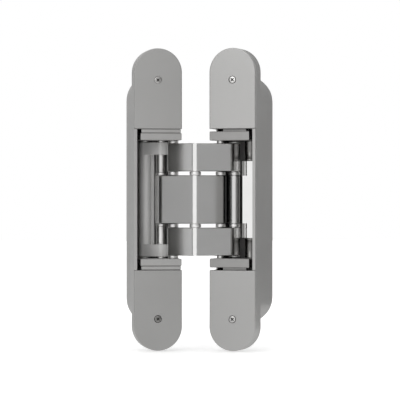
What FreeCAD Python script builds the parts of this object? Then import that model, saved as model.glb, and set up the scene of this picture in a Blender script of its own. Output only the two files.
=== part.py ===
import FreeCAD, Part
import math
import os

# Concealed door hinge with two mortise cases and a scissor linkage, in millimetres.
# The frame case lies along Z with its face in the plane Y = 0, looking along -Y.
# The leaf case is shown part of the way open and is the frame case reflected
# in the vertical plane through the centre pivot that halves the opening.

# Cases
case_length = 200.0
case_width = 32.0
case_depth = 38.5
end_depth = 11.5
pocket_end = 16.0
pocket_rim = 1.5
side_wall = 2.0
end_wall = 3.2
floor_thickness = 2.0
end_floor = 3.0
case_bottom_round = 1.2
case_edge_round = 0.5
window_depth = 15.2
window_corner = 3.0
fixing_end = 10.0
fixing_hole = 5.2
fixing_head = 8.0
pocket_length = case_length - 2 * pocket_end
pocket_corner = case_depth - end_depth - pocket_rim
fixing_height = case_length / 2 - fixing_end

# Cover plates and their screws
cover_thickness = 2.5
cover_gap = 0.1
cover_edge_round = 0.6
cover_screw_end = 21.0
cover_screw_head = 5.3
cover_screw_shank = 3.0
cover_screw_length = 12.0
cover_boss = 8.0
cover_screw_height = case_length / 2 - cover_screw_end

# Stack of the linkage along its pins, from the middle to each end
inner_arm_half = 16.0
arm_gap = 2.6
outer_arm_width = 18.6
ear_width = 8.3
ear_overlap = 7.2
plate_overlap = 10.0
frame_carrier_gap = 2.0
frame_carrier_thickness = 4.8
slide_plate_thickness = 2.6
leaf_carrier_gap = 1.8
leaf_carrier_thickness = 6.0
outer_arm_start = inner_arm_half + arm_gap
outer_arm_end = outer_arm_start + outer_arm_width
ear_start = outer_arm_end - ear_overlap
ear_end = ear_start + ear_width
plate_half = inner_arm_half + plate_overlap
frame_carrier_start = outer_arm_end + frame_carrier_gap
frame_carrier_end = frame_carrier_start + frame_carrier_thickness
slide_plate_end = frame_carrier_end + slide_plate_thickness
leaf_carrier_start = outer_arm_end + leaf_carrier_gap
leaf_carrier_end = leaf_carrier_start + leaf_carrier_thickness

# Carriers, slide plates and their clamp screws
carrier_left_gap = 4.4
carrier_right_gap = 0.2
carrier_wall_gap = 0.5
carrier_floor_gap = 4.5
carrier_corner = 3.0
slide_plate_inset = 0.5
foot_width = 16.0
foot_top = 5.0
foot_bottom = 8.0
clamp_boss = 12.0
clamp_shank = 5.8
clamp_head = 9.4
clamp_head_thickness = 2.2
clamp_length = 18.0
clamp_slot_travel = 5.0
clamp_socket = 4.0
foot_play = 0.1
carrier_left = case_width / 2 - carrier_left_gap
carrier_right = case_width / 2 - carrier_right_gap
carrier_lower_right = case_width / 2 - side_wall - carrier_wall_gap
carrier_bottom = case_depth - floor_thickness - carrier_floor_gap
cover_boss_start = cover_screw_height - cover_boss / 2
clamp_height = (slide_plate_end + cover_boss_start) / 2
foot_end = cover_boss_start - clamp_slot_travel / 2 - foot_play

# Linkage, measured across from the case's open side and down from its face.
# The long leg, the anchor and the swing link are in proportion to the arm's
# short leg, and turned from it by these angles when the hinge is closed.
closed_gap = 5.2
arm_pivot_side = 4.2
arm_pivot_depth = 10.6
centre_side = 18.64
long_leg_ratio = 1.5457
long_leg_turn = 156.52
anchor_ratio = 1.1301
anchor_turn = 82.66
swing_ratio = 0.6594
swing_turn = -134.53
slot_lean = -34.4
arm_share = 0.575
swing_share = 0.165
full_opening = 180.0
shown_opening = 151.0
arm_pivot_across = case_width / 2 - arm_pivot_side
centre_across = case_width / 2 - centre_side

# Arms, links and pins
arm_barrel = 7.8
knuckle = 10.0
knuckle_along = 8.0
knuckle_aside = 4.0
notch_gap = 0.5
edge_break = 0.4
pin = 5.0
slot_pin = 4.0
running_fit = 0.06
seat_fit = 0.02
washer = 6.6
link_washer = 7.6
side_gap = 0.1
sleeve = 7.1
anchor_sleeve = 8.4
link_barrel = 8.4
link_end = 7.8
web_reach = 6.2
web_thickness = 3.6
plate_gap = 0.3
plate_step = 3.8
clip_thickness = 0.5


# Places in the plane of the linkage are pairs: across the face and out of it

def polar(centre, radius, angle):
    """The point at a radius and an angle in degrees from a centre."""
    turn = math.radians(angle)
    return (centre[0] + radius * math.cos(turn), centre[1] + radius * math.sin(turn))


def bearing(start, end):
    """The angle in degrees of the line from one point to another."""
    return math.degrees(math.atan2(end[1] - start[1], end[0] - start[0]))


def distance(start, end):
    """The distance between two points of the plane."""
    return math.hypot(end[0] - start[0], end[1] - start[1])


arm_pivot = (arm_pivot_across, -arm_pivot_depth)
closed_centre = (centre_across, closed_gap / 2)
short_arm = distance(arm_pivot, closed_centre)
long_arm = short_arm * long_leg_ratio
swing_length = short_arm * swing_ratio
short_start = bearing(arm_pivot, closed_centre)
long_start = short_start + long_leg_turn
swing_start = short_start + swing_turn
anchor = polar(arm_pivot, short_arm * anchor_ratio, short_start + anchor_turn)


def centre_pivot(opening):
    """The pivot where the arms cross, at an opening of the door in degrees."""
    return polar(arm_pivot, short_arm, short_start - arm_share * opening)


def long_end(opening):
    """The far end of the inner arm, deep in the frame case."""
    return polar(centre_pivot(opening), long_arm, long_start - (1 - arm_share) * opening)


def swing_bearing(opening):
    """The angle of the swing link about its anchor."""
    return swing_start + swing_share * opening


def slot_offset(opening):
    """Where the arm's end pin stands in the link's slot: along it and aside."""
    nominal = polar(anchor, swing_length, swing_bearing(opening))
    reach = distance(nominal, long_end(opening))
    turn = math.radians(bearing(nominal, long_end(opening)) - swing_bearing(opening) - slot_lean)
    return (reach * math.cos(turn), reach * math.sin(turn))


# The slot is as long and as wide as the pin needs over the whole opening
slot_steps = [slot_offset(full_opening * step / 60) for step in range(61)]
slot_low = min(step[0] for step in slot_steps)
slot_high = max(step[0] for step in slot_steps)
slot_side = (max(step[1] for step in slot_steps) + min(step[1] for step in slot_steps)) / 2
slot_play = (max(step[1] for step in slot_steps) - min(step[1] for step in slot_steps)) / 2
slot_radius = slot_pin / 2 + slot_play + running_fit

centre = centre_pivot(shown_opening)
link_pivot = long_end(shown_opening)
cover_start = slide_plate_end + side_gap


# Solids are drawn in the frame case's place; a leaf piece is then reflected

mirror_angle = math.radians(-shown_opening / 2)
mirror_normal = FreeCAD.Vector(-math.sin(mirror_angle), -math.cos(mirror_angle), 0)
mirror_base = FreeCAD.Vector(centre[0], -centre[1], 0)


def spot(place, height):
    """A point of the row's frame from a place in the linkage's plane."""
    return FreeCAD.Vector(place[0], -place[1], height)


def reflected(shape):
    """The same piece on the leaf's side of the hinge."""
    return shape.mirror(mirror_base, mirror_normal)


def upside_down(shape):
    """The same piece at the other end of the case."""
    return shape.mirror(FreeCAD.Vector(0, 0, 0), FreeCAD.Vector(0, 0, 1))


def both_ends(shape):
    """A piece and its copy at the other end of the case."""
    return Part.Compound([shape, upside_down(shape)])


def merged(*shapes):
    """One solid from several that touch."""
    return shapes[0].fuse(list(shapes[1:])).removeSplitter()


def slab(face, low, high):
    """A flat face of the linkage's plane, extruded between two heights."""
    shape = face.extrude(FreeCAD.Vector(0, 0, high - low))
    shape.translate(FreeCAD.Vector(0, 0, low))
    return shape


def rod(place, diameter, low, high):
    """A round bar along Z."""
    base = spot(place, low)
    return Part.makeCylinder(diameter / 2, high - low, base, FreeCAD.Vector(0, 0, 1))


def ring(place, outer, inner, low, high):
    """A washer, bush or sleeve along Z."""
    return rod(place, outer, low, high).cut(rod(place, inner, low, high))


def outline(points):
    """A closed face through points of the linkage's plane."""
    corners = [spot(point, 0) for point in points]
    return Part.Face(Part.makePolygon(corners + corners[:1]))


def stud(across, height, diameter, top, bottom):
    """A round bar square to the face, between two depths below it."""
    base = FreeCAD.Vector(across, top, height)
    return Part.makeCylinder(diameter / 2, bottom - top, base, FreeCAD.Vector(0, 1, 0))


def tapered_bar(first, first_width, second, second_width, low, high):
    """A bar with round ends of two widths, tangent to both, extruded along Z."""
    axis = bearing(first, second)
    lean = math.degrees(math.acos((first_width - second_width) / 2 / distance(first, second)))
    corners = [polar(first, first_width / 2, axis + lean)]
    corners.append(polar(second, second_width / 2, axis + lean))
    corners.append(polar(second, second_width / 2, axis - lean))
    corners.append(polar(first, first_width / 2, axis - lean))
    ends = [rod(first, first_width, low, high), rod(second, second_width, low, high)]
    return slab(outline(corners), low, high).fuse(ends)


def softened(shape):
    """A piece with the sharp edges of its two ends along Z broken."""
    low = shape.BoundBox.ZMin
    high = shape.BoundBox.ZMax
    rims = []
    for edge in shape.Edges:
        box = edge.BoundBox
        at_low = abs(box.ZMin - low) < 0.001 and abs(box.ZMax - low) < 0.001
        at_high = abs(box.ZMin - high) < 0.001 and abs(box.ZMax - high) < 0.001
        if at_low or at_high:
            rims.append(edge)
    return shape.makeChamfer(edge_break, rims)


# Cases and covers

def stadium(length, width, top, bottom):
    """A long block with round ends, between two depths below the face."""
    half = length / 2 - width / 2
    radius = width / 2
    side = FreeCAD.Vector(radius, top, half)
    other = FreeCAD.Vector(-radius, top, half)
    low_side = FreeCAD.Vector(radius, top, -half)
    low_other = FreeCAD.Vector(-radius, top, -half)
    crown = Part.Arc(side, FreeCAD.Vector(0, top, half + radius), other)
    heel = Part.Arc(low_other, FreeCAD.Vector(0, top, -half - radius), low_side)
    edges = [Part.makeLine(low_side, side), crown.toShape()]
    edges += [Part.makeLine(other, low_other), heel.toShape()]
    return Part.Face(Part.Wire(edges)).extrude(FreeCAD.Vector(0, bottom - top, 0))


def rounded_block(length, width, top, bottom, corner):
    """A long block with round ends whose bottom also curves up at the ends."""
    half = length / 2
    start = bottom - corner
    middle = corner * math.sqrt(0.5)
    side = -width / 2
    crown = Part.Arc(
        FreeCAD.Vector(side, start, half),
        FreeCAD.Vector(side, start + middle, half - corner + middle),
        FreeCAD.Vector(side, bottom, half - corner))
    heel = Part.Arc(
        FreeCAD.Vector(side, bottom, corner - half),
        FreeCAD.Vector(side, start + middle, corner - half - middle),
        FreeCAD.Vector(side, start, -half))
    corners = [FreeCAD.Vector(side, top, -half), FreeCAD.Vector(side, top, half)]
    edges = [Part.makeLine(corners[0], corners[1])]
    edges.append(Part.makeLine(corners[1], FreeCAD.Vector(side, start, half)))
    edges.append(crown.toShape())
    edges.append(Part.makeLine(
        FreeCAD.Vector(side, bottom, half - corner), FreeCAD.Vector(side, bottom, corner - half)))
    edges.append(heel.toShape())
    edges.append(Part.makeLine(FreeCAD.Vector(side, start, -half), corners[0]))
    profile = Part.Face(Part.Wire(edges)).extrude(FreeCAD.Vector(width, 0, 0))
    return stadium(length, width, top, bottom).common(profile)


def edges_at_depth(shape, depth):
    """The edges of a solid that lie at one depth below the face."""
    found = []
    for edge in shape.Edges:
        if abs(edge.BoundBox.YMin - depth) < 0.001 and abs(edge.BoundBox.YMax - depth) < 0.001:
            found.append(edge)
    return found


def mortise_case():
    """One case with its pocket, window for the arms, bosses and holes."""
    deep = rounded_block(pocket_length, case_width, 0, case_depth, pocket_corner)
    bar = Part.makeBox(
        case_width, case_depth, case_length,
        FreeCAD.Vector(-case_width / 2, 0, -case_length / 2))
    long_edges = []
    for edge in edges_at_depth(bar, case_depth):
        if edge.BoundBox.ZLength > case_width:
            long_edges.append(edge)
    deep = deep.common(bar.makeFillet(case_bottom_round, long_edges))
    shallow = stadium(case_length, case_width, 0, end_depth)
    shallow = shallow.makeFillet(case_edge_round, edges_at_depth(shallow, 0))
    shape = merged(shallow, deep)

    seat_start = cover_start - cover_gap
    seat = Part.makeBox(
        case_width, cover_thickness + 1, case_length,
        FreeCAD.Vector(-case_width / 2, -1, seat_start))
    inner_width = case_width - 2 * end_wall
    end_pocket = stadium(case_length - 2 * end_wall, inner_width, -1, end_depth - end_floor)
    floor = case_depth - floor_thickness
    deep_pocket = rounded_block(
        pocket_length - 2 * end_wall, inner_width, -1, floor, pocket_corner - end_wall)
    middle_width = case_width - 2 * side_wall
    middle = Part.makeBox(
        middle_width, floor + 1, 2 * cover_start,
        FreeCAD.Vector(-middle_width / 2, -1, -cover_start))
    shape = shape.cut([seat, upside_down(seat), end_pocket, deep_pocket, middle])

    window = Part.makeBox(
        case_width, window_depth + 1, 2 * cover_start,
        FreeCAD.Vector(middle_width / 2 - case_width / 4, -1, -cover_start))
    corners = []
    for edge in window.Edges:
        box = edge.BoundBox
        if box.XLength > case_width / 2 and abs(box.YMax - window_depth) < 0.001:
            corners.append(edge)
    shape = shape.cut(window.makeFillet(window_corner, corners))

    bosses = []
    for height in (cover_screw_height, -cover_screw_height):
        bosses.append(stud(0, height, cover_boss, cover_thickness, floor).common(deep))
    for height in (clamp_height, -clamp_height):
        bosses.append(stud(0, height, clamp_boss, foot_bottom, floor).common(deep))
    shape = merged(shape, *bosses)

    drills = []
    for height in (cover_screw_height, -cover_screw_height):
        bottom = cover_screw_length + 2
        drills.append(stud(0, height, cover_screw_shank + 2 * seat_fit, -1, bottom))
    for height in (clamp_height, -clamp_height):
        bottom = foot_top + clamp_length + 2
        drills.append(stud(0, height, clamp_shank + 2 * seat_fit, foot_top, bottom))
    for height in (fixing_height, -fixing_height):
        drills.append(stud(0, height, fixing_hole, 0, end_depth + 1))
        sink = (fixing_head - fixing_hole) / 2
        top = FreeCAD.Vector(0, end_depth - end_floor, height)
        down = FreeCAD.Vector(0, 1, 0)
        drills.append(Part.makeCone(fixing_head / 2, fixing_hole / 2, sink, top, down))
    return shape.cut(drills)


def cover_plate():
    """The cover of one case end, dished for its screw."""
    shape = stadium(case_length, case_width, 0, cover_thickness)
    shape = shape.common(Part.makeBox(
        case_width, cover_thickness, case_length,
        FreeCAD.Vector(-case_width / 2, 0, cover_start)))
    shape = shape.makeFillet(cover_edge_round, edges_at_depth(shape, 0))
    head = Part.makeCone(
        cover_screw_head / 2 + seat_fit, cover_screw_shank / 2 + seat_fit,
        (cover_screw_head - cover_screw_shank) / 2,
        FreeCAD.Vector(0, 0, cover_screw_height), FreeCAD.Vector(0, 1, 0))
    hole = stud(0, cover_screw_height, cover_screw_shank + 2 * seat_fit, 0, cover_thickness)
    return shape.cut([head, hole])


def cross_recess(height, width, length, depth):
    """The cross-shaped drive of a small screw."""
    bars = []
    for across, along in ((width, length), (length, width)):
        corner = FreeCAD.Vector(-across / 2, 0, height - along / 2)
        bars.append(Part.makeBox(across, depth, along, corner))
    return bars


def cover_screw():
    """A countersunk screw of one cover."""
    sink = (cover_screw_head - cover_screw_shank) / 2
    head = Part.makeCone(
        cover_screw_head / 2, cover_screw_shank / 2, sink,
        FreeCAD.Vector(0, 0, cover_screw_height), FreeCAD.Vector(0, 1, 0))
    shank = stud(0, cover_screw_height, cover_screw_shank, sink, cover_screw_length)
    drive = cross_recess(
        cover_screw_height, cover_screw_head * 0.16, cover_screw_head * 0.62, sink)
    return merged(head, shank).cut(drive)


# Carriers

def carrier_plate(low, high, inset):
    """A plate across the pocket that holds the pins of one case."""
    left = -carrier_left + inset
    right = carrier_right - inset
    lower_right = carrier_lower_right - inset
    step = window_depth - case_edge_round
    corners = [(left, 0), (right, 0), (right, -step), (lower_right, -step)]
    corners += [(lower_right, -carrier_bottom + inset), (left, -carrier_bottom + inset)]
    plate = slab(outline(corners), low, high)
    rounded = []
    for edge in plate.Edges:
        box = edge.BoundBox
        if box.ZLength > (high - low) / 2 and box.YMax > carrier_bottom - inset - 0.001:
            rounded.append(edge)
    return softened(plate.makeFillet(carrier_corner, rounded))


def pin_holes(low, high):
    """The seats of the arm pin and the anchor pin."""
    seat = pin + 2 * seat_fit
    return [rod(arm_pivot, seat, low, high), rod(anchor, seat, low, high)]


def clamp_foot(start):
    """The slotted foot of a carrier under the cover."""
    depth = foot_bottom - foot_top
    foot = Part.makeBox(
        foot_width, depth, foot_end - start,
        FreeCAD.Vector(-foot_width / 2, foot_top, start))
    corners = []
    for edge in foot.Edges:
        box = edge.BoundBox
        if box.YLength > depth / 2 and box.ZMax > foot_end - 0.001:
            corners.append(edge)
    foot = foot.makeFillet(carrier_corner, corners)
    low = clamp_height - clamp_slot_travel / 2
    high = clamp_height + clamp_slot_travel / 2
    width = clamp_shank + 2 * seat_fit
    slot = Part.makeBox(
        width, depth, high - low, FreeCAD.Vector(-width / 2, foot_top, low))
    ends = [stud(0, low, width, foot_top, foot_bottom), stud(0, high, width, foot_top, foot_bottom)]
    return foot.cut([slot] + ends)


def clamp_screw():
    """The low-headed socket screw that clamps a foot to its boss."""
    top = foot_top - clamp_head_thickness
    head = stud(0, clamp_height, clamp_head, top, foot_top)
    head = head.makeFillet(clamp_head_thickness * 0.3, edges_at_depth(head, top))
    shank = stud(0, clamp_height, clamp_shank, foot_top, foot_top + clamp_length)
    corners = []
    for corner in range(6):
        turn = math.radians(60 * corner)
        across = clamp_socket / math.sqrt(3) * math.cos(turn)
        along = clamp_socket / math.sqrt(3) * math.sin(turn)
        corners.append(FreeCAD.Vector(across, top, clamp_height + along))
    drive = Part.Face(Part.makePolygon(corners + corners[:1]))
    socket = drive.extrude(FreeCAD.Vector(0, clamp_head_thickness * 0.75, 0))
    return merged(head, shank).cut(socket)


# Arms and swing links

def along_arm(along, aside):
    """A place measured from the arm's deep end towards its middle barrel."""
    run = bearing(link_pivot, centre)
    return polar(polar(link_pivot, along, run), aside, run + 90)


def passing_pin(opening):
    """Where the other arm's pin passes this arm, as places on the arm."""
    end = long_end(opening)
    reach = distance(end, arm_pivot)
    turn = math.radians(bearing(end, arm_pivot) - bearing(end, centre_pivot(opening)))
    return along_arm(reach * math.cos(turn), reach * math.sin(turn))


def arm_solid(low, high):
    """A long leg that bows round the other arm's pin, a barrel and a short leg."""
    bulge = along_arm(knuckle_along, knuckle_aside)
    far = far_pivot()
    legs = [tapered_bar(link_pivot, arm_barrel, bulge, knuckle, low, high)]
    legs.append(tapered_bar(bulge, knuckle, centre, arm_barrel, low, high))
    legs.append(tapered_bar(centre, arm_barrel, far, arm_barrel, low, high))
    steps = [passing_pin(full_opening * step / 4) for step in range(5)]
    notch = []
    for first, second in zip(steps, steps[1:]):
        width = pin + 2 * notch_gap
        notch.append(tapered_bar(first, width, second, width, low, high))
    return softened(merged(*legs)).cut(notch)


def mirrored_place(place):
    """A place of the linkage's plane reflected on to the leaf's side."""
    point = spot(place, 0)
    offset = (point - mirror_base).dot(mirror_normal)
    image = point - mirror_normal * (2 * offset)
    return (image.x, -image.y)


def far_pivot():
    """The arm pivot of the leaf case at the opening shown."""
    return mirrored_place(arm_pivot)


def inner_arm():
    """The middle arm, from the frame's swing link to the leaf's arm pin."""
    arm = arm_solid(-inner_arm_half, inner_arm_half)
    holes = [rod(link_pivot, slot_pin + 2 * seat_fit, -inner_arm_half, inner_arm_half)]
    for place in (centre, far_pivot()):
        holes.append(rod(place, pin + 2 * running_fit, -inner_arm_half, inner_arm_half))
    return arm.cut(holes)


def outer_arm():
    """The upper fork arm, from the frame's arm pin to the leaf's swing link."""
    low = outer_arm_start
    high = outer_arm_end
    arm = arm_solid(low, high)
    holes = [rod(link_pivot, slot_pin + 2 * seat_fit, low, high)]
    holes.append(rod(centre, pin + 2 * seat_fit, low, high))
    holes.append(rod(far_pivot(), pin + 2 * running_fit, low, high))
    return reflected(arm.cut(holes))


def slot_points():
    """The two ends of the swing link's slot at the opening shown."""
    nominal = polar(anchor, swing_length, swing_bearing(shown_opening))
    lean = swing_bearing(shown_opening) + slot_lean
    middle = polar(nominal, slot_side, lean + 90)
    return polar(middle, slot_low, lean), polar(middle, slot_high, lean)


def slotted_end(diameter, low, high):
    """A long round-ended bar about the swing link's slot."""
    first, second = slot_points()
    return tapered_bar(first, diameter, second, diameter, low, high)


def link_ear(low, high):
    """The part of a swing link from its anchor barrel to its slotted end."""
    first, second = slot_points()
    sides = [tapered_bar(anchor, link_barrel, second, link_end, low, high)]
    sides.append(slotted_end(link_end, low, high))
    ear = tapered_bar(anchor, link_barrel, first, link_end, low, high)
    return merged(ear, *sides).cut(slotted_end(2 * slot_radius, low, high))


def link_web(half):
    """The long barrel of a swing link with the web along its back."""
    run = swing_bearing(shown_opening)
    outer = polar(anchor, link_barrel / 2, run - 90)
    inner = polar(anchor, link_barrel / 2 - web_thickness, run - 90)
    corners = [outer, polar(outer, web_reach, run), polar(inner, web_reach, run), inner]
    return merged(rod(anchor, link_barrel, -half, half), slab(outline(corners), -half, half))


def swing_link_frame():
    """The U-shaped link of the frame case, with an ear at each end."""
    ears = [link_ear(ear_start, ear_end), link_ear(-ear_end, -ear_start)]
    shape = merged(link_web(ear_start), *ears)
    return softened(shape.cut(rod(anchor, pin + 2 * running_fit, -ear_end, ear_end)))


def link_plate():
    """The flat plate of the leaf's link, parallel to the face at the opening shown.
    It is narrower beyond the slotted end, where the outer arms pass."""
    first, second = slot_points()
    left = anchor[0] - link_barrel / 2
    right = first[0] - link_end / 2 - plate_gap
    top = anchor[1] + link_barrel / 2
    plates = []
    for edge, half in ((right, inner_arm_half - side_gap), (right - plate_step, plate_half)):
        corners = [(left, anchor[1]), (edge, anchor[1]), (edge, top), (left, top)]
        plates.append(slab(outline(corners), -half, half))
    return merged(*plates)


def above_plate(half):
    """The room in front of the plate, up to the slotted barrel."""
    first, second = slot_points()
    left = anchor[0] - link_barrel
    top = anchor[1] + link_barrel / 2
    corners = [(left, top), (first[0], top), (first[0], 0), (left, 0)]
    return slab(outline(corners), -half, half).cut(slotted_end(link_end, -half, half))


def swing_link_leaf():
    """The T-shaped link of the leaf case, with its slot in the middle."""
    half = inner_arm_half - side_gap
    ear = link_ear(-half, half).cut(above_plate(half))
    shape = merged(link_web(plate_half), link_plate(), ear)
    slot = slotted_end(2 * slot_radius, -half, half)
    return softened(shape.cut([slot, rod(anchor, pin + 2 * running_fit, -plate_half, plate_half)]))


def washer_set(place, outer, inner, low, high):
    """Two like washers or sleeves, one at each end of a pin."""
    return both_ends(ring(place, outer, inner + 2 * seat_fit, low + side_gap, high - side_gap))


# Every piece under its own name

pieces = {}
case = mortise_case()
pieces["frame_case"] = case
pieces["leaf_case"] = reflected(case)

cover = cover_plate()
pieces["frame_cover_top"] = cover
pieces["frame_cover_bottom"] = upside_down(cover)
pieces["leaf_cover_top"] = reflected(cover)
pieces["leaf_cover_bottom"] = reflected(upside_down(cover))
pieces["frame_cover_screws"] = both_ends(cover_screw())
pieces["leaf_cover_screws"] = reflected(both_ends(cover_screw()))

frame_carrier = carrier_plate(frame_carrier_start, frame_carrier_end, 0)
frame_carrier = frame_carrier.cut(pin_holes(frame_carrier_start, frame_carrier_end))
pieces["frame_carrier_top"] = frame_carrier
pieces["frame_carrier_bottom"] = upside_down(frame_carrier)

slide_plate = carrier_plate(frame_carrier_end, slide_plate_end, slide_plate_inset)
slide_plate = merged(slide_plate, clamp_foot(frame_carrier_end))
pieces["frame_slide_plate_top"] = slide_plate
pieces["frame_slide_plate_bottom"] = upside_down(slide_plate)

leaf_carrier = carrier_plate(leaf_carrier_start, leaf_carrier_end, 0)
leaf_carrier = merged(leaf_carrier, clamp_foot(leaf_carrier_start))
leaf_carrier = leaf_carrier.cut(pin_holes(leaf_carrier_start, leaf_carrier_end))
pieces["leaf_carrier_top"] = reflected(leaf_carrier)
pieces["leaf_carrier_bottom"] = reflected(upside_down(leaf_carrier))

pieces["frame_clamp_screws"] = both_ends(clamp_screw())
pieces["leaf_clamp_screws"] = reflected(both_ends(clamp_screw()))

pieces["inner_arm"] = inner_arm()
pieces["outer_arm_upper"] = outer_arm()
pieces["outer_arm_lower"] = upside_down(outer_arm())
pieces["frame_swing_link"] = swing_link_frame()
pieces["leaf_swing_link"] = reflected(swing_link_leaf())

pieces["centre_pin"] = rod(centre, pin, -outer_arm_end, outer_arm_end)
pieces["frame_arm_pin"] = rod(arm_pivot, pin, -frame_carrier_end, frame_carrier_end)
pieces["frame_anchor_pin"] = rod(anchor, pin, -frame_carrier_end, frame_carrier_end)
pieces["frame_link_pin"] = rod(link_pivot, slot_pin, -frame_carrier_start + side_gap,
                               frame_carrier_start - side_gap)
pieces["leaf_arm_pin"] = reflected(rod(arm_pivot, pin, -leaf_carrier_end, leaf_carrier_end))
pieces["leaf_anchor_pin"] = reflected(rod(anchor, pin, -leaf_carrier_end, leaf_carrier_end))
pieces["leaf_link_pin"] = reflected(rod(link_pivot, slot_pin, -outer_arm_end, outer_arm_end))

gap_low = inner_arm_half
gap_high = outer_arm_start
pieces["centre_washers"] = washer_set(centre, link_washer, pin, gap_low, gap_high)
inner_washers = washer_set(arm_pivot, washer, pin, gap_low, gap_high)
outer_washers = washer_set(arm_pivot, washer, pin, outer_arm_end, frame_carrier_start)
pieces["frame_arm_washers"] = Part.Compound(inner_washers.Solids + outer_washers.Solids)
pieces["leaf_arm_washers"] = reflected(washer_set(arm_pivot, washer, pin, gap_low, gap_high))
pieces["frame_link_sleeves"] = washer_set(link_pivot, sleeve, slot_pin, gap_low, ear_start)
pieces["leaf_link_washers"] = reflected(
    washer_set(link_pivot, link_washer, slot_pin, gap_low, gap_high))
pieces["frame_link_clips"] = both_ends(ring(
    link_pivot, link_end, slot_pin + 2 * seat_fit,
    ear_end + side_gap, ear_end + side_gap + clip_thickness))
pieces["frame_anchor_washers"] = washer_set(
    anchor, link_washer, pin, ear_end, frame_carrier_start)
pieces["leaf_anchor_sleeves"] = reflected(washer_set(
    anchor, anchor_sleeve, pin, plate_half, leaf_carrier_start))


os.makedirs("parts", exist_ok=True)
for name, shape in pieces.items():
    shape.exportStep("parts/" + name + ".step")
    if not shape.isValid():
        print("not valid:", name)
print(len(pieces), "pieces written")
print("slot from %.2f to %.2f, play %.2f" % (slot_low, slot_high, slot_play))
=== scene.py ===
import bmesh
import bpy
import math
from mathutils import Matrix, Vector


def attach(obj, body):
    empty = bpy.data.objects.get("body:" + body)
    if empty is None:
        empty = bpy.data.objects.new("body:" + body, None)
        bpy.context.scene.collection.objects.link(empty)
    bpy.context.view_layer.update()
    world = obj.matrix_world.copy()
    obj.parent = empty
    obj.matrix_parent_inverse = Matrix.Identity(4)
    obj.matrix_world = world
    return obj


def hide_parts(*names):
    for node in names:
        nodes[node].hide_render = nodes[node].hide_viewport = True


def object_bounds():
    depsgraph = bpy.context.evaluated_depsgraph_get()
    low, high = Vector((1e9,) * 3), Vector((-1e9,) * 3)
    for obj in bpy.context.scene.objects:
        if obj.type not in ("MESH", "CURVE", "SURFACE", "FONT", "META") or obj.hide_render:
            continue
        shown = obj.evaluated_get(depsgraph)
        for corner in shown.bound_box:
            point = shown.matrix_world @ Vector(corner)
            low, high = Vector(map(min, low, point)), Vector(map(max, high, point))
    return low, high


# A concealed door hinge, standing part of the way open, seen from the front.
# Places are in metres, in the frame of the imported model, unless a comment says otherwise.

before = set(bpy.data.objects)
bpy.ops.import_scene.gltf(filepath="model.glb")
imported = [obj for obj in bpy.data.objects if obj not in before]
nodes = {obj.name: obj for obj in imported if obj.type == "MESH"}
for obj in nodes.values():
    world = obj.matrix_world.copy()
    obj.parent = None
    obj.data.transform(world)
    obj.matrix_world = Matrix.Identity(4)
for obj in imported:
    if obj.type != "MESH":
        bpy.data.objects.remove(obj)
cad_low, cad_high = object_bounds()


# Camera
# It stands in front and a little to the left, level with the middle of the hinge.
# The picture is 264 mm wide at the frame case's face, which stands left of its middle.

camera_turn = math.radians(-9.6)
camera_distance = 1.5
picture_width = 0.2644
face_left_of_middle = 0.0277
face_above_middle = 0.00033
sensor_width = 36
nearest_seen = 0.05
farthest_seen = 20

sight_right = Vector((math.cos(camera_turn), math.sin(camera_turn), 0))
sight_back = Vector((math.sin(camera_turn), -math.cos(camera_turn), 0))
aim = sight_right * face_left_of_middle - Vector((0, 0, face_above_middle))
bpy.ops.object.camera_add(
    location=aim + sight_back * camera_distance,
    rotation=(math.radians(90), 0, camera_turn))
camera = bpy.context.object
camera.name = "camera"
camera.data.sensor_width = sensor_width
camera.data.lens = sensor_width * camera_distance / picture_width
camera.data.clip_start = nearest_seen
camera.data.clip_end = farthest_seen
bpy.context.scene.camera = camera


# Cases
# The two bodies that are let into the frame and the door. Each is one zinc die casting
# with a nickel-coloured satin coat, which has a very fine orange peel.

noise_low = 0.3
noise_high = 0.7


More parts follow.
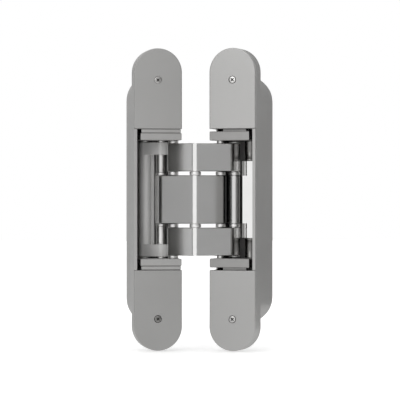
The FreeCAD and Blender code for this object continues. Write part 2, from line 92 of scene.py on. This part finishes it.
def metal_finish(name, colour, dark_colour, roughness, roughness_swing,
                 grain_size, grain_stretch, cloud_size, bump_height):
    """A metal whose colour, gloss and surface vary softly and carry a fine grain."""
    material = bpy.data.materials.new(name)
    material.use_nodes = True
    tree = material.node_tree
    shader = tree.nodes["Principled BSDF"]
    shader.inputs["Metallic"].default_value = 1.0
    place = tree.nodes.new("ShaderNodeTexCoord")
    stretch = tree.nodes.new("ShaderNodeMapping")
    stretch.inputs["Scale"].default_value = (1, 1, 1 / grain_stretch)
    tree.links.new(place.outputs["Object"], stretch.inputs["Vector"])

    cloud = tree.nodes.new("ShaderNodeTexNoise")
    cloud.inputs["Scale"].default_value = 1 / cloud_size
    cloud.inputs["Detail"].default_value = 3
    tree.links.new(place.outputs["Object"], cloud.inputs["Vector"])
    grain = tree.nodes.new("ShaderNodeTexNoise")
    grain.inputs["Scale"].default_value = 1 / grain_size
    grain.inputs["Detail"].default_value = 4
    tree.links.new(stretch.outputs["Vector"], grain.inputs["Vector"])

    tones = tree.nodes.new("ShaderNodeValToRGB")
    tones.color_ramp.elements[0].position = noise_low
    tones.color_ramp.elements[0].color = (*dark_colour, 1)
    tones.color_ramp.elements[1].position = noise_high
    tones.color_ramp.elements[1].color = (*colour, 1)
    tree.links.new(cloud.outputs["Fac"], tones.inputs["Fac"])
    tree.links.new(tones.outputs["Color"], shader.inputs["Base Color"])

    gloss = tree.nodes.new("ShaderNodeMapRange")
    gloss.inputs["From Min"].default_value = noise_low
    gloss.inputs["From Max"].default_value = noise_high
    gloss.inputs["To Min"].default_value = roughness - roughness_swing
    gloss.inputs["To Max"].default_value = roughness + roughness_swing
    tree.links.new(grain.outputs["Fac"], gloss.inputs["Value"])
    tree.links.new(gloss.outputs["Result"], shader.inputs["Roughness"])

    bump = tree.nodes.new("ShaderNodeBump")
    bump.inputs["Strength"].default_value = 0.2
    bump.inputs["Distance"].default_value = bump_height
    tree.links.new(grain.outputs["Fac"], bump.inputs["Height"])
    tree.links.new(bump.outputs["Normal"], shader.inputs["Normal"])
    return material


def darken(material, share, tone):
    """Multiplies a material's colour by tone, as far as the share socket says."""
    tree = material.node_tree
    colour = tree.nodes["Principled BSDF"].inputs["Base Color"]
    darker = tree.nodes.new("ShaderNodeMixRGB")
    darker.blend_type = "MULTIPLY"
    darker.inputs["Color2"].default_value = (tone, tone, tone, 1)
    tree.links.new(share, darker.inputs["Fac"])
    tree.links.new(colour.links[0].from_socket, darker.inputs["Color1"])
    tree.links.new(darker.outputs["Color"], colour)


def place_along(material, axis):
    """The socket that gives each point's place along one axis of the frame."""
    tree = material.node_tree
    place = tree.nodes.new("ShaderNodeTexCoord")
    parts = tree.nodes.new("ShaderNodeSeparateXYZ")
    tree.links.new(place.outputs["Object"], parts.inputs["Vector"])
    return parts.outputs[axis]


def share_between(material, value, none_at, full_at):
    """The socket of a share that rises from 0 to 1 as the value goes between two places."""
    tree = material.node_tree
    share = tree.nodes.new("ShaderNodeMapRange")
    share.inputs["From Min"].default_value = none_at
    share.inputs["From Max"].default_value = full_at
    tree.links.new(value, share.inputs["Value"])
    return share.outputs["Result"]


def dress(names, material):
    """Gives the named nodes one finish."""
    for name in names:
        mesh = nodes[name].data
        mesh.materials.clear()
        mesh.materials.append(material)


leaf_face = Vector((0.04752, -0.01227, 0))
leaf_turn = math.radians(29)
grazing_tint = (0.75, 0.75, 0.75, 1)
pocket_left = -0.0149
pocket_deep = (0.0022, 0.0365)
pocket_tall = (-0.067, 0.067)
blend_width = 0.0004
for name, base, turn, pocket_right, painted_pocket_shade in (
        ("frame_case", Vector((0, 0, 0)), 0, 0.0149, 0.5),
        ("leaf_case", leaf_face, -leaf_turn, 0.0134, 0.25)):
    finish = metal_finish(
        "satin_" + name + "_metal", (0.46, 0.457, 0.449), (0.435, 0.432, 0.425), 0.42, 0.03,
        grain_size=0.0006, grain_stretch=1, cloud_size=0.03, bump_height=0.00002)
    tree = finish.node_tree
    shader = tree.nodes["Principled BSDF"]
    shader.inputs["Specular Tint"].default_value = grazing_tint

    # Painted shade darkens the colour inside the pocket. The pocket's span
    # is measured in the case's own turned frame.
    place = tree.nodes.new("ShaderNodeTexCoord")
    square = tree.nodes.new("ShaderNodeMapping")
    square.vector_type = "TEXTURE"
    square.inputs["Location"].default_value = base
    square.inputs["Rotation"].default_value = (0, 0, turn)
    tree.links.new(place.outputs["Object"], square.inputs["Vector"])
    parts = tree.nodes.new("ShaderNodeSeparateXYZ")
    tree.links.new(square.outputs["Vector"], parts.inputs["Vector"])
    inside = None
    pocket_span = ((pocket_left, pocket_right), pocket_deep, pocket_tall)
    for axis, (low_side, high_side) in zip("XYZ", pocket_span):
        for side, direction in ((low_side, 1), (high_side, -1)):
            within = share_between(
                finish, parts.outputs[axis], side, side + direction * blend_width)
            if inside is None:
                inside = within
                continue
            both = tree.nodes.new("ShaderNodeMath")
            both.operation = "MULTIPLY"
            tree.links.new(inside, both.inputs[0])
            tree.links.new(within, both.inputs[1])
            inside = both.outputs["Value"]
    # Painted shade: the pocket's inside is multiplied by this tone.
    darken(finish, inside, painted_pocket_shade)
    dress([name], finish)


# Cover plates
# The four plates that close the ends of the cases, each held by one screw. They are
# pressed from steel and have a finer satin coat than the castings.

darker_from = 0.05
darker_to = -0.11
lower_end_tone = 0.85
for side, colour, dark_colour in (
        ("frame", (0.445, 0.442, 0.435), (0.425, 0.422, 0.415)),
        ("leaf", (0.49, 0.487, 0.48), (0.47, 0.467, 0.46))):
    cover_finish = metal_finish(
        "satin_" + side + "_cover_metal", colour, dark_colour, 0.44, 0.03,
        grain_size=0.0004, grain_stretch=2, cloud_size=0.05, bump_height=0.000015)

    # The plates are a shade darker towards the lower end.
    height = place_along(cover_finish, "Z")
    darken(cover_finish, share_between(cover_finish, height, darker_from, darker_to), lower_end_tone)
    dress([side + "_cover_top", side + "_cover_bottom"], cover_finish)


# Cover screws
# Small countersunk screws with a cross recess, one through each cover plate.
# They are cold-headed steel, zinc plated; painted shade darkens the recess and the edge of the
# head.
# The height is in metres, the other sizes of a screw are in millimetres.

millimetre = 0.001
screw_sides = 64
screw_height = 0.079
screw_head_radius = 2.65
screw_shank_radius = 1.5
shank_length = 10.65
tip_length = 0.2
tip_taper = 0.8
head_sink = 0.05
head_edge = 0.55
head_band = 0.1
head_cone = 0.65
crown_height = 0.08
crown_rim = 0.25
recess_width = 0.95
recess_span = 3.5
recess_depth = 1.3
recess_taper = 0.5
recess_slack = 0.05
below_crown = 0.5
facing = 0.9
slope_limit = 0.88
smooth_under = math.radians(30)


def pick_faces(piece, wanted):
    """In edit mode, selects the faces that wanted says yes to, and no others."""
    bpy.ops.mesh.select_mode(type="FACE")
    bpy.ops.mesh.select_all(action="DESELECT")
    mesh = bmesh.from_edit_mesh(piece.data)
    for face in mesh.faces:
        if wanted(face):
            face.select_set(True)
    bmesh.update_edit_mesh(piece.data)


def settle(piece):
    """Makes the piece's place, turn and scale part of its mesh."""
    bpy.ops.object.select_all(action="DESELECT")
    piece.select_set(True)
    bpy.context.view_layer.objects.active = piece
    bpy.ops.object.transform_apply(location=True, rotation=True, scale=True)


def apply_modifier(piece, modifier):
    """Makes one modifier's result the piece's own mesh."""
    bpy.ops.object.select_all(action="DESELECT")
    piece.select_set(True)
    bpy.context.view_layer.objects.active = piece
    bpy.ops.object.modifier_apply(modifier=modifier.name)


def copy_of(piece, name):
    """A second piece with a mesh of its own."""
    twin = piece.copy()
    twin.data = piece.data.copy()
    twin.name = name
    bpy.context.collection.objects.link(twin)
    return twin


def joined(pieces, name):
    """Several pieces made one."""
    bpy.ops.object.select_all(action="DESELECT")
    for piece in pieces:
        piece.select_set(True)
    bpy.context.view_layer.objects.active = pieces[0]
    if len(pieces) > 1:
        bpy.ops.object.join()
    pieces[0].name = name
    return pieces[0]


# One screw is shaped in millimetres with its head up, head first and shank last.
bpy.ops.object.select_all(action="DESELECT")
bpy.ops.mesh.primitive_cylinder_add(
    vertices=screw_sides, radius=screw_head_radius, depth=head_band,
    location=(0, 0, -head_edge - head_band / 2))
screw = bpy.context.object
settle(screw)
bpy.ops.object.mode_set(mode="EDIT")
pick_faces(screw, lambda face: face.normal.z < -facing)
bpy.ops.mesh.extrude_region_move(TRANSFORM_OT_translate={"value": (0, 0, -head_cone)})
ratio = screw_shank_radius / screw_head_radius
bpy.ops.transform.resize(value=(ratio, ratio, 1))
bpy.ops.mesh.extrude_region_move(TRANSFORM_OT_translate={"value": (0, 0, -shank_length)})
bpy.ops.mesh.extrude_region_move(TRANSFORM_OT_translate={"value": (0, 0, -tip_length)})
bpy.ops.transform.resize(value=(tip_taper, tip_taper, 1))
pick_faces(screw, lambda face: face.normal.z > facing)
edge_height = head_edge - head_sink - crown_height
bpy.ops.mesh.extrude_region_move(TRANSFORM_OT_translate={"value": (0, 0, edge_height)})
ratio = 1 - head_edge / screw_head_radius
bpy.ops.transform.resize(value=(ratio, ratio, 1))
bpy.ops.mesh.inset(thickness=crown_rim)
bpy.ops.transform.translate(value=(0, 0, crown_height))
bpy.ops.object.mode_set(mode="OBJECT")

# The recess is two crossed blades, narrower at the bottom, cut out of the head.
for turn in (45, 135):
    bpy.ops.object.select_all(action="DESELECT")
    bpy.ops.mesh.primitive_cube_add(size=1, rotation=(0, 0, math.radians(turn)))
    blade = bpy.context.object
    blade.scale = (recess_span, recess_width, 2 * recess_depth)
    settle(blade)
    bpy.ops.object.mode_set(mode="EDIT")
    pick_faces(blade, lambda face: face.normal.z < -facing)
    bpy.ops.transform.resize(value=(recess_taper, recess_taper, 1))
    bpy.ops.object.mode_set(mode="OBJECT")
    cut = screw.modifiers.new("recess", "BOOLEAN")
    cut.operation = "DIFFERENCE"
    cut.solver = "EXACT"
    cut.object = blade
    apply_modifier(screw, cut)
    bpy.data.objects.remove(blade)
bpy.ops.object.shade_smooth_by_angle(angle=smooth_under)

# Painted shade: a dark finish laid on the recess and on the edge of the head.
painted_shade_finish = metal_finish(
    "painted_shade_screw_recess", (0.1, 0.098, 0.094), (0.06, 0.058, 0.055), 0.5, 0.05,
    grain_size=0.0003, grain_stretch=1, cloud_size=0.002, bump_height=0.00001)
# The screws share one zinc plate; their four tones are painted light and shade, brighter or
# darker by where each screw stands.
lit_and_shaded_screw_finishes = {}
for look, colour, dark_colour in (
        ("plain", (0.45, 0.445, 0.435), (0.42, 0.415, 0.405)),
        ("dull", (0.26, 0.257, 0.25), (0.21, 0.207, 0.2)),
        ("satin", (0.56, 0.555, 0.545), (0.5, 0.495, 0.485)),
        ("bright", (0.76, 0.755, 0.74), (0.7, 0.69, 0.675))):
    lit_and_shaded_screw_finishes[look] = metal_finish(
        look + "_zinc_screw", colour, dark_colour, 0.3, 0.05,
        grain_size=0.0003, grain_stretch=1, cloud_size=0.002, bump_height=0.00001)

screw_places = {
    "frame": (Vector((0, 0, 0)), 0, "frame_side", ("plain", "dull")),
    "leaf": (leaf_face, -leaf_turn, "leaf_side", ("bright", "satin"))}
for side, (base, turn, body, looks) in screw_places.items():
    pair = []
    for height, look in zip((screw_height, -screw_height), looks):
        one = copy_of(screw, side + "_screw_" + look)
        one.data.materials.append(lit_and_shaded_screw_finishes[look])
        one.data.materials.append(painted_shade_finish)
        # Faces in the recess and, on all but the plain screw, the sloping edge of the head take
        # the painted shade.
        for face in one.data.polygons:
            depth = -face.center.z
            from_axis = math.hypot(face.center.x, face.center.y)
            near_axis = from_axis < recess_span / 2 + recess_slack
            sloping = abs(face.normal.z) < slope_limit
            in_recess = near_axis and depth < recess_depth + 2 * recess_slack and (
                sloping or depth > below_crown)
            at_edge = look != "plain" and depth < head_edge and sloping
            if in_recess or at_edge:
                face.material_index = 1
        one.scale = (millimetre, millimetre, millimetre)
        one.rotation_euler = (math.radians(90), 0, turn)
        one.location = base + Vector((0, 0, height))
        settle(one)
        pair.append(one)
    screws = joined(pair, side + "_cross_screws")
    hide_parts(side + "_cover_screws")
    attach(screws, body)
bpy.data.objects.remove(screw)

clamp_finish = metal_finish(
    "clamp_screw_steel", (0.5, 0.49, 0.475), (0.42, 0.41, 0.4), 0.32, 0.06,
    grain_size=0.0003, grain_stretch=1, cloud_size=0.002, bump_height=0.00001)
dress(["frame_clamp_screws", "leaf_clamp_screws"], clamp_finish)


# Carriers
# Thick die-cast plates that hold the pins at both ends of each opening, with a slide plate
# beside each of the frame's. Clamp screws hold them, and their coat is that of the cases.

carrier_finish = metal_finish(
    "satin_carrier_metal", (0.42, 0.417, 0.41), (0.4, 0.397, 0.39), 0.36, 0.03,
    grain_size=0.0005, grain_stretch=1, cloud_size=0.01, bump_height=0.000015)
dress(["frame_carrier_top", "frame_carrier_bottom", "frame_slide_plate_top",
       "frame_slide_plate_bottom"], carrier_finish)
leaf_carrier_finish = metal_finish(
    "satin_leaf_carrier_metal", (0.345, 0.342, 0.335), (0.325, 0.322, 0.316), 0.36, 0.03,
    grain_size=0.0005, grain_stretch=1, cloud_size=0.01, bump_height=0.000015)
dress(["leaf_carrier_top", "leaf_carrier_bottom"], leaf_carrier_finish)


# Arms
# One thick inner arm, and a fork of two outer arms that crosses it. They are cut from
# extruded steel bars, ground along the bar and plated, so the grain runs along Z.

arm_finish = metal_finish(
    "plated_arm_metal", (0.86, 0.857, 0.85), (0.83, 0.827, 0.82), 0.17, 0.02,
    grain_size=0.00035, grain_stretch=40, cloud_size=0.02, bump_height=0.00001)
dress(["outer_arm_upper", "outer_arm_lower"], arm_finish)

# Painted shade darkens the seams on both sides of the leaf link's barrel.
seam_shade_tone = 0.06


def paint_seam_shade(material, middle, reach, fade):
    """Paints shade on a band across the hinge: its middle along X, its reach and its soft edge.
    """
    tree = material.node_tree
    from_middle = tree.nodes.new("ShaderNodeMath")
    from_middle.operation = "SUBTRACT"
    from_middle.inputs[1].default_value = middle
    tree.links.new(place_along(material, "X"), from_middle.inputs[0])
    away = tree.nodes.new("ShaderNodeMath")
    away.operation = "ABSOLUTE"
    tree.links.new(from_middle.outputs["Value"], away.inputs[0])
    share = share_between(material, away.outputs["Value"], reach + fade, reach)
    darken(material, share, seam_shade_tone)


inner_finish = arm_finish.copy()
inner_finish.name = "plated_inner_arm_metal"
# Painted shade in the seam at the inner arm's free end.
paint_seam_shade(inner_finish, middle=0.0455, reach=0.0014, fade=0.0012)
dress(["inner_arm"], inner_finish)


# Swing links
# The leaf's link is a plate welded to a tube, plated bright, with the grain along the tube.
# The frame's is a U with two ears and a web, sintered and left with a pale matt skin.

link_finish = metal_finish(
    "bright_link_metal", (0.85, 0.847, 0.84), (0.82, 0.817, 0.81), 0.12, 0.01,
    grain_size=0.00035, grain_stretch=40, cloud_size=0.015, bump_height=0.00001)

# The leaf link's barrel keeps the duller skin of its tube; only the plate is polished.
barrel_middle = Vector((0.05, 0.005, 0))
barrel_reach = 0.0063
barrel_edge = 0.0002
barrel_tone = 0.78
barrel_roughness = 0.26
tree = link_finish.node_tree
shader = tree.nodes["Principled BSDF"]
place = tree.nodes.new("ShaderNodeTexCoord")
flat = tree.nodes.new("ShaderNodeVectorMath")
flat.operation = "MULTIPLY"
flat.inputs[1].default_value = (1, 1, 0)
tree.links.new(place.outputs["Object"], flat.inputs[0])
away = tree.nodes.new("ShaderNodeVectorMath")
away.operation = "DISTANCE"
away.inputs[1].default_value = barrel_middle
tree.links.new(flat.outputs["Vector"], away.inputs[0])
on_barrel = share_between(
    link_finish, away.outputs["Value"], barrel_reach + barrel_edge, barrel_reach)
gloss = tree.nodes.new("ShaderNodeMapRange")
gloss.inputs["To Max"].default_value = barrel_roughness
tree.links.new(on_barrel, gloss.inputs["Value"])
tree.links.new(shader.inputs["Roughness"].links[0].from_socket, gloss.inputs["To Min"])
tree.links.new(gloss.outputs["Result"], shader.inputs["Roughness"])
darken(link_finish, on_barrel, barrel_tone)
# Painted shade in the seams beside the barrel.
paint_seam_shade(link_finish, middle=0.0462, reach=0.001, fade=0.003)
paint_seam_shade(link_finish, middle=0.0567, reach=0.0009, fade=0.0004)
dress(["leaf_swing_link"], link_finish)

web_metallic = 0.35
web_finish = metal_finish(
    "satin_web_metal", (0.77, 0.766, 0.757), (0.73, 0.726, 0.717), 0.6, 0.03,
    grain_size=0.00035, grain_stretch=20, cloud_size=0.01, bump_height=0.00001)
web_finish.node_tree.nodes["Principled BSDF"].inputs["Metallic"].default_value = web_metallic
dress(["frame_swing_link"], web_finish)


# Pins and clips
# The seven pins that the linkage turns on are plain ground steel rods, pressed into one side.
# Spring clips hold the pin at the free end of the inner arm.

pin_finish = metal_finish(
    "ground_pin_steel", (0.68, 0.675, 0.665), (0.62, 0.615, 0.605), 0.16, 0.04,
    grain_size=0.0003, grain_stretch=1, cloud_size=0.01, bump_height=0.000005)
dress(["frame_arm_pin", "frame_anchor_pin", "centre_pin", "leaf_link_pin", "frame_link_pin",
       "leaf_arm_pin", "leaf_anchor_pin", "frame_link_clips"], pin_finish)


# Washers
# Turned steel washers that keep the arms apart, one round each pin in every gap.
# Their rims are rounded and polished, so they shine in the narrow gaps.
# Their outlines and places are in millimetres.

round_steps = 64
bevel_steps = 4
sharp_from = math.radians(40)


def turned(name, profile, rounding, place):
    """A part turned about an upright axis, from its closed outline of radius and height in mm."""
    (first_radius, first_height), *others = profile
    bpy.ops.object.select_all(action="DESELECT")
    bpy.ops.mesh.primitive_circle_add(
        vertices=round_steps, radius=first_radius, fill_type="NOTHING",
        location=(0, 0, first_height))
    piece = bpy.context.object
    piece.name = name
    settle(piece)
    bpy.ops.object.mode_set(mode="EDIT")
    bpy.ops.mesh.select_mode(type="EDGE")
    bpy.ops.mesh.select_all(action="SELECT")
    radius, height = first_radius, first_height
    for next_radius, next_height in others + [profile[0]]:
        bpy.ops.mesh.extrude_edges_move(
            TRANSFORM_OT_translate={"value": (0, 0, next_height - height)})
        ratio = next_radius / radius
        bpy.ops.transform.resize(value=(ratio, ratio, 1), center_override=(0, 0, next_height))
        radius, height = next_radius, next_height
    bpy.ops.mesh.select_all(action="SELECT")
    bpy.ops.mesh.remove_doubles(threshold=0.001)
    bpy.ops.mesh.normals_make_consistent(inside=False)
    bpy.ops.object.mode_set(mode="OBJECT")
    soften = piece.modifiers.new("rounding", "BEVEL")
    soften.width = rounding
    soften.segments = bevel_steps
    soften.limit_method = "ANGLE"
    soften.angle_limit = sharp_from
    apply_modifier(piece, soften)
    bpy.ops.object.shade_smooth_by_angle(angle=sharp_from)
    piece.scale = (millimetre, millimetre, millimetre)
    piece.location = Vector((*place, 0)) * millimetre
    settle(piece)
    return piece


def mirrored_pair(piece):
    """The same piece once more below the middle of the hinge, joined with it."""
    lower = copy_of(piece, piece.name + "_lower")
    lower.rotation_euler = (math.radians(180), 0, 0)
    settle(lower)
    low_x, low_y = lower.bound_box[0][0], lower.bound_box[0][1]
    top_x, top_y = piece.bound_box[0][0], piece.bound_box[0][1]
    lower.location = (top_x - low_x, top_y - low_y, 0)
    settle(lower)
    return joined([piece, lower], piece.name)


washer_finish = metal_finish(
    "bright_washer_steel", (0.92, 0.915, 0.905), (0.88, 0.875, 0.865), 0.42, 0.04,
    grain_size=0.0003, grain_stretch=1, cloud_size=0.004, bump_height=0.00001)
arm_gap = (16.1, 18.5)
carrier_gap = (37.3, 39.1)
anchor_gap = (38.4, 39.1)
link_pin_place = (52.428, 6.246)
for node, place, hole, radius, gaps, rounding, body in (
        ("centre_washers", (24.18, -4.549), 2.52, 3.8, [arm_gap], 0.6, "fork_arms"),
        ("leaf_link_washers", link_pin_place, 2.02, 3.8, [arm_gap], 0.7, "fork_arms"),
        ("leaf_arm_washers", (42.352, 2.699), 2.52, 3.3, [arm_gap], 0.38, "leaf_side"),
        ("frame_arm_washers", (11.8, 10.6), 2.52, 3.3, [arm_gap, carrier_gap], 0.38,
         "frame_side"),
        ("frame_anchor_washers", (-5.076, 24.879), 2.52, 3.8, [anchor_gap], 0.25,
         "frame_side")):
    rings = []
    for low_end, high_end in gaps:
        outline = ((radius, low_end), (radius, high_end), (hole, high_end), (hole, low_end))
        rings.append(mirrored_pair(turned("ring", outline, rounding, place)))
    washers = joined(rings, node.replace("washers", "rings"))
    washers.data.materials.append(washer_finish)
    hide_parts(node)
    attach(washers, body)

# The leaf link's pin ends in two dimpled rivet heads on the outer arms.
head = ((3.8, 37.22), (3.8, 38.7), (0.7, 38.7), (0.7, 37.22))
heads = mirrored_pair(turned("rivet_heads", head, 0.5, link_pin_place))
heads.data.materials.append(washer_finish)
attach(heads, "fork_arms")


# Sleeves
# Turned steel spacers on two of the pins. The pin at the inner arm's free end carries two
# bright ones, each with a collar below. The leaf's anchor pin carries two darker ones with
# rolled rims. Their outlines and places are in millimetres, from the outside in.

sleeve_finish = metal_finish(
    "bright_sleeve_steel", (0.72, 0.715, 0.705), (0.68, 0.675, 0.665), 0.32, 0.01,
    grain_size=0.0003, grain_stretch=1, cloud_size=0.01, bump_height=0.000002)
sleeve_place = (4.707, 18.587)
anchor_place = (64.038, 7.004)
tube = ((3.25, 18), (3.25, 29.1), (3.5, 29.1), (3.5, 29.9), (2.02, 29.9), (2.02, 18))
tubes = mirrored_pair(turned("tubes", tube, 0.2, sleeve_place))
tubes.data.materials.append(sleeve_finish)
collar = ((3.55, 16.1), (3.55, 17.95), (2.02, 17.95), (2.02, 16.1))
collars = mirrored_pair(turned("collars", collar, 0.6, sleeve_place))
collars.data.materials.append(washer_finish)
sleeves = joined([tubes, collars], "collared_sleeves")
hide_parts("frame_link_sleeves")
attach(sleeves, "middle_arm")

dark_sleeve_finish = metal_finish(
    "dark_sleeve_steel", (0.22, 0.217, 0.212), (0.18, 0.177, 0.172), 0.2, 0.02,
    grain_size=0.0003, grain_stretch=1, cloud_size=0.01, bump_height=0.000005)
rimmed = ((4.2, 26.1), (4.2, 27.1), (4.0, 27.4), (4.0, 37.9), (4.2, 38.2), (4.2, 38.9),
          (2.52, 38.9), (2.52, 26.1))
dark_sleeves = mirrored_pair(turned("rimmed_sleeves", rimmed, 0.15, anchor_place))
dark_sleeves.data.materials.append(dark_sleeve_finish)
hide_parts("leaf_anchor_sleeves")
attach(dark_sleeves, "leaf_side")


# Floor
# A plain white paper sheet under the hinge, as wide as the camera can see. It keeps the
# hinge's shadow, is lifted to white for the eye, and shows white in the metal.

floor_size = 8
floor_gap = 0.0005
floor_lift = 0.45
paper_grey = (0.9, 0.9, 0.9, 1)
bpy.ops.object.select_all(action="DESELECT")
bpy.ops.mesh.primitive_plane_add(size=floor_size, location=(0, 0, cad_low.z - floor_gap))
floor = bpy.context.object
floor.name = "floor"
white = bpy.data.materials.new("white_paper")
white.use_nodes = True
tree = white.node_tree
tree.nodes.remove(tree.nodes["Principled BSDF"])
rays = tree.nodes.new("ShaderNodeLightPath")
paper = tree.nodes.new("ShaderNodeBsdfDiffuse")
paper.inputs["Color"].default_value = paper_grey
lift = tree.nodes.new("ShaderNodeMath")
lift.operation = "MULTIPLY"
lift.inputs[1].default_value = floor_lift
tree.links.new(rays.outputs["Is Camera Ray"], lift.inputs[0])
glow = tree.nodes.new("ShaderNodeEmission")
tree.links.new(lift.outputs["Value"], glow.inputs["Strength"])
seen = tree.nodes.new("ShaderNodeAddShader")
tree.links.new(paper.outputs["BSDF"], seen.inputs[0])
tree.links.new(glow.outputs["Emission"], seen.inputs[1])
in_metal = tree.nodes.new("ShaderNodeMath")
in_metal.operation = "MAXIMUM"
tree.links.new(rays.outputs["Is Glossy Ray"], in_metal.inputs[0])
tree.links.new(rays.outputs["Is Transmission Ray"], in_metal.inputs[1])
plain_white = tree.nodes.new("ShaderNodeEmission")
either = tree.nodes.new("ShaderNodeMixShader")
tree.links.new(in_metal.outputs["Value"], either.inputs["Fac"])
tree.links.new(seen.outputs["Shader"], either.inputs[1])
tree.links.new(plain_white.outputs["Emission"], either.inputs[2])
tree.links.new(either.outputs["Shader"], tree.nodes["Material Output"].inputs["Surface"])
floor.data.materials.append(white)


# Cards
# Plain grey cards stand beside the hinge, out of the camera's sight, as a photographer
# sets them to give bright metal its darker sides. Each goes from one place to another
# on the floor plan.

card_height = 0.6
card_roughness = 0.9
for name, grey, start, end in (
        ("left_card", 0.47, (-0.277, -0.05), (-0.26, -0.195)),
        ("side_card", 0.75, (-0.30, 0.14), (-0.277, -0.05)),
        ("rear_left_card", 0.9, (-0.16, 0.36), (-0.30, 0.14)),
        ("right_card", 0.52, (0.10, -0.29), (0.34, -0.09)),
        ("rear_right_card", 0.76, (0.34, -0.03), (0.16, 0.34))):
    start, end = Vector((*start, cad_low.z)), Vector((*end, cad_low.z))
    bpy.ops.object.select_all(action="DESELECT")
    bpy.ops.mesh.primitive_plane_add(
        size=1, location=(start + end) / 2 + Vector((0, 0, card_height / 2)),
        rotation=(math.radians(90), 0, math.atan2(end.y - start.y, end.x - start.x)))
    card = bpy.context.object
    card.name = name
    card.scale = ((end - start).length, card_height, 1)
    card.visible_camera = False
    finish = bpy.data.materials.new(name)
    finish.use_nodes = True
    paint = finish.node_tree.nodes["Principled BSDF"]
    paint.inputs["Base Color"].default_value = (grey, grey, grey, 1)
    paint.inputs["Roughness"].default_value = card_roughness
    card.data.materials.append(finish)


# Room and lamps
# The room is plain white all round, and one soft square lamp stands at the left above
# the camera. Its power is in watts.

lamp_place = Vector((-1.2, -1.2, 0.8))
lamp_size = 1.0
lamp_power = 3.7

world = bpy.data.worlds.new("white_room")
bpy.context.scene.world = world
world.use_nodes = True
world.node_tree.nodes["Background"].inputs["Color"].default_value = (1, 1, 1, 1)

bpy.ops.object.light_add(type="AREA", location=lamp_place)
lamp = bpy.context.object
lamp.name = "left_lamp"
lamp.data.size = lamp_size
lamp.data.energy = lamp_power
lamp.rotation_euler = (-lamp_place).to_track_quat("-Z", "Y").to_euler()

bpy.context.scene.view_settings.view_transform = "Standard"
